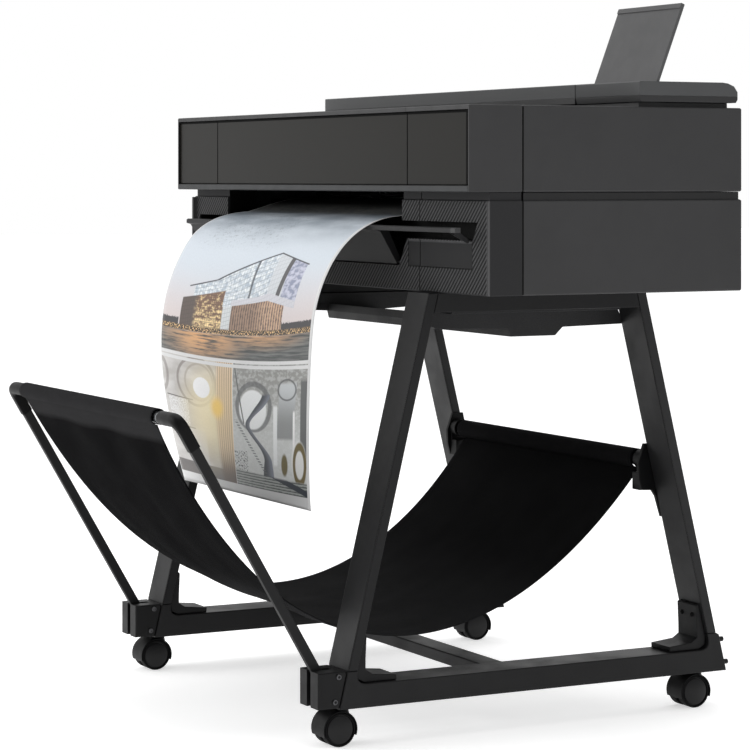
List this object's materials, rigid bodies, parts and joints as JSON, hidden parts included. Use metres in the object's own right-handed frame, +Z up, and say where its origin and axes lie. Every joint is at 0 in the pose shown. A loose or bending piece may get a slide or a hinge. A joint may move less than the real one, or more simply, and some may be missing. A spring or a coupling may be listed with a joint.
{
  "type": "large format plotter",
  "caption": "Wide roll-fed inkjet plotter on a castered A-frame stand, with a raised lid, fold-up sheet support, hanging print and fabric catch basket.",
  "frame": {"origin": "on the floor, under the middle of the whole machine", "axes": "+X to the operator's right, +Y to the back, +Z up"},
  "size_m": [1.317, 1.1837, 1.3779],
  "materials": {
    "shell_charcoal": "fine textured moulding",
    "bezel_textured": "fine diagonal line texture",
    "front_panel_gloss": "glossy dark olive grey",
    "trim_grey": "light grey satin",
    "lid_grey": "satin grey",
    "stand_black_steel": "black powder coat",
    "black_plastic": "satin black moulding",
    "black_fabric": "woven black cloth",
    "rubber": "black rubber",
    "bright_steel": "ground steel",
    "zinc_plate": "zinc plated sheet steel",
    "paper": "coated paper",
    "ink_cartridges": "dark grey plastic"
  },
  "bodies": {
    "machine": {"upper_shell": "shell_charcoal", "lower_shell": "shell_charcoal", "front_frame": "shell_charcoal", "bezel_centre": "bezel_textured", "bezel_right": "bezel_textured", "front_panel_left": "front_panel_gloss", "trim_strip": "trim_grey", "feeder_housing": "lid_grey", "foot_rail_right": "stand_black_steel", "foot_rail_left": "stand_black_steel", "front_leg_right": "stand_black_steel", "front_leg_left": "stand_black_steel", "rear_leg_right": "stand_black_steel", "rear_leg_left": "stand_black_steel", "top_beam_right": "stand_black_steel", "top_beam_left": "stand_black_steel", "lower_cross_beam": "stand_black_steel", "upper_cross_beam": "stand_black_steel", "basket_rear_bar": "stand_black_steel", "front_bracket_right": "black_plastic", "front_bracket_left": "black_plastic", "rear_bracket_right": "black_plastic", "rear_bracket_left": "black_plastic", "basket_clamp_right": "black_plastic", "basket_clamp_left": "black_plastic", "rear_bar_bracket_right": "black_plastic", "rear_bar_bracket_left": "black_plastic", "platen": "black_plastic", "power_inlet": "black_plastic", "basket_fabric": "black_fabric", "drive_belt": "rubber", "carriage_rod": "bright_steel", "chassis": "zinc_plate", "carriage_motor": "zinc_plate", "printed_sheet": "paper", "ink_tanks": "ink_cartridges"},
    "flap": {"output_flap": "lid_grey"},
    "window": {"window_cover": "front_panel_gloss"},
    "ink_hatch": {"ink_door": "front_panel_gloss"},
    "roll_lid": {"roll_cover": "lid_grey"},
    "support": {"sheet_support": "trim_grey"},
    "button": {"power_button": "trim_grey"},
    "carriage": {"carriage": "black_plastic"},
    "feed": {"feed_roller": "rubber"},
    "pinch": {"pinch_rollers": "rubber"},
    "roll": {"roll_spindle": "black_plastic", "paper_roll": "paper"},
    "basket_frame": {"basket_arm_right": "stand_black_steel", "basket_arm_left": "stand_black_steel", "basket_elbow_right": "black_plastic", "basket_elbow_left": "black_plastic", "basket_front_bar": "bright_steel"},
    "swivel_front_right": {"caster_hood_front_right": "black_plastic"},
    "wheels_front_right": {"caster_wheels_front_right": "rubber"},
    "swivel_front_left": {"caster_hood_front_left": "black_plastic"},
    "wheels_front_left": {"caster_wheels_front_left": "rubber"},
    "swivel_rear_right": {"caster_hood_rear_right": "black_plastic"},
    "wheels_rear_right": {"caster_wheels_rear_right": "rubber"},
    "swivel_rear_left": {"caster_hood_rear_left": "black_plastic"},
    "wheels_rear_left": {"caster_wheels_rear_left": "rubber"}
  },
  "joints": [
    {"name": "flap_hinge", "type": "hinge", "parent": "machine", "child": "flap", "pos_m": [0, -0.0583, 0.887], "axis": [1, 0, 0], "range_deg": [0, 55]},
    {"name": "window_hinge", "type": "hinge", "parent": "machine", "child": "window", "pos_m": [0, -0.0985, 1.169], "axis": [-1, 0, 0], "range_deg": [0, 80]},
    {"name": "ink_hatch_hinge", "type": "hinge", "parent": "machine", "child": "ink_hatch", "pos_m": [0.536, -0.0985, 1.038], "axis": [1, 0, 0], "range_deg": [0, 90]},
    {"name": "roll_cover_hinge", "type": "hinge", "parent": "machine", "child": "roll_lid", "pos_m": [0, 0.4797, 1.195], "axis": [-1, 0, 0], "range_deg": [0, 70]},
    {"name": "sheet_support_hinge", "type": "hinge", "parent": "machine", "child": "support", "pos_m": [0.543, 0.3037, 1.2248], "axis": [-1, 0, 0], "range_deg": [0, 68.5]},
    {"name": "power_press", "type": "slide", "parent": "machine", "child": "button", "axis": [0, 0, -1], "range_m": [0, 0.0012], "stiffness_N_per_m": 400, "springref_m": -0.0005},
    {"name": "carriage_travel", "type": "slide", "parent": "machine", "child": "carriage", "axis": [-1, 0, 0], "range_m": [0, 1]},
    {"name": "feed_spin", "type": "hinge", "parent": "machine", "child": "feed", "pos_m": [0, 0.2127, 0.988], "axis": [1, 0, 0], "continuous": true},
    {"name": "pinch_spin", "type": "hinge", "parent": "machine", "child": "pinch", "pos_m": [0, 0.2127, 1.0106], "axis": [1, 0, 0], "continuous": true},
    {"name": "roll_spin", "type": "hinge", "parent": "machine", "child": "roll", "pos_m": [0, 0.3647, 1.112], "axis": [1, 0, 0], "continuous": true},
    {"name": "basket_hinge", "type": "hinge", "parent": "machine", "child": "basket_frame", "pos_m": [0, -0.2833, 0.112], "axis": [-1, 0, 0], "range_deg": [0, 28], "deforming": ["basket_fabric"]},
    {"name": "swivel_front_right_turn", "type": "hinge", "parent": "machine", "child": "swivel_front_right", "pos_m": [0.433, -0.2493, 0.0718], "axis": [0, 0, 1], "continuous": true},
    {"name": "wheels_front_right_spin", "type": "hinge", "parent": "swivel_front_right", "child": "wheels_front_right", "pos_m": [0.433, -0.2633, 0.0318], "axis": [1, 0, 0], "continuous": true},
    {"name": "swivel_front_left_turn", "type": "hinge", "parent": "machine", "child": "swivel_front_left", "pos_m": [-0.433, -0.2493, 0.0718], "axis": [0, 0, 1], "continuous": true},
    {"name": "wheels_front_left_spin", "type": "hinge", "parent": "swivel_front_left", "child": "wheels_front_left", "pos_m": [-0.433, -0.2633, 0.0318], "axis": [1, 0, 0], "continuous": true},
    {"name": "swivel_rear_right_turn", "type": "hinge", "parent": "machine", "child": "swivel_rear_right", "pos_m": [0.433, 0.5382, 0.0718], "axis": [0, 0, 1], "continuous": true},
    {"name": "wheels_rear_right_spin", "type": "hinge", "parent": "swivel_rear_right", "child": "wheels_rear_right", "pos_m": [0.433, 0.5242, 0.0318], "axis": [1, 0, 0], "continuous": true},
    {"name": "swivel_rear_left_turn", "type": "hinge", "parent": "machine", "child": "swivel_rear_left", "pos_m": [-0.433, 0.5382, 0.0718], "axis": [0, 0, 1], "continuous": true},
    {"name": "wheels_rear_left_spin", "type": "hinge", "parent": "swivel_rear_left", "child": "wheels_rear_left", "pos_m": [-0.433, 0.5242, 0.0318], "axis": [1, 0, 0], "continuous": true}
  ],
  "couplings": [
    {"joint": "pinch_spin", "follows": "feed_spin", "ratio": -2.125},
    {"joint": "roll_spin", "follows": "feed_spin", "ratio": 0.2957}
  ]
}
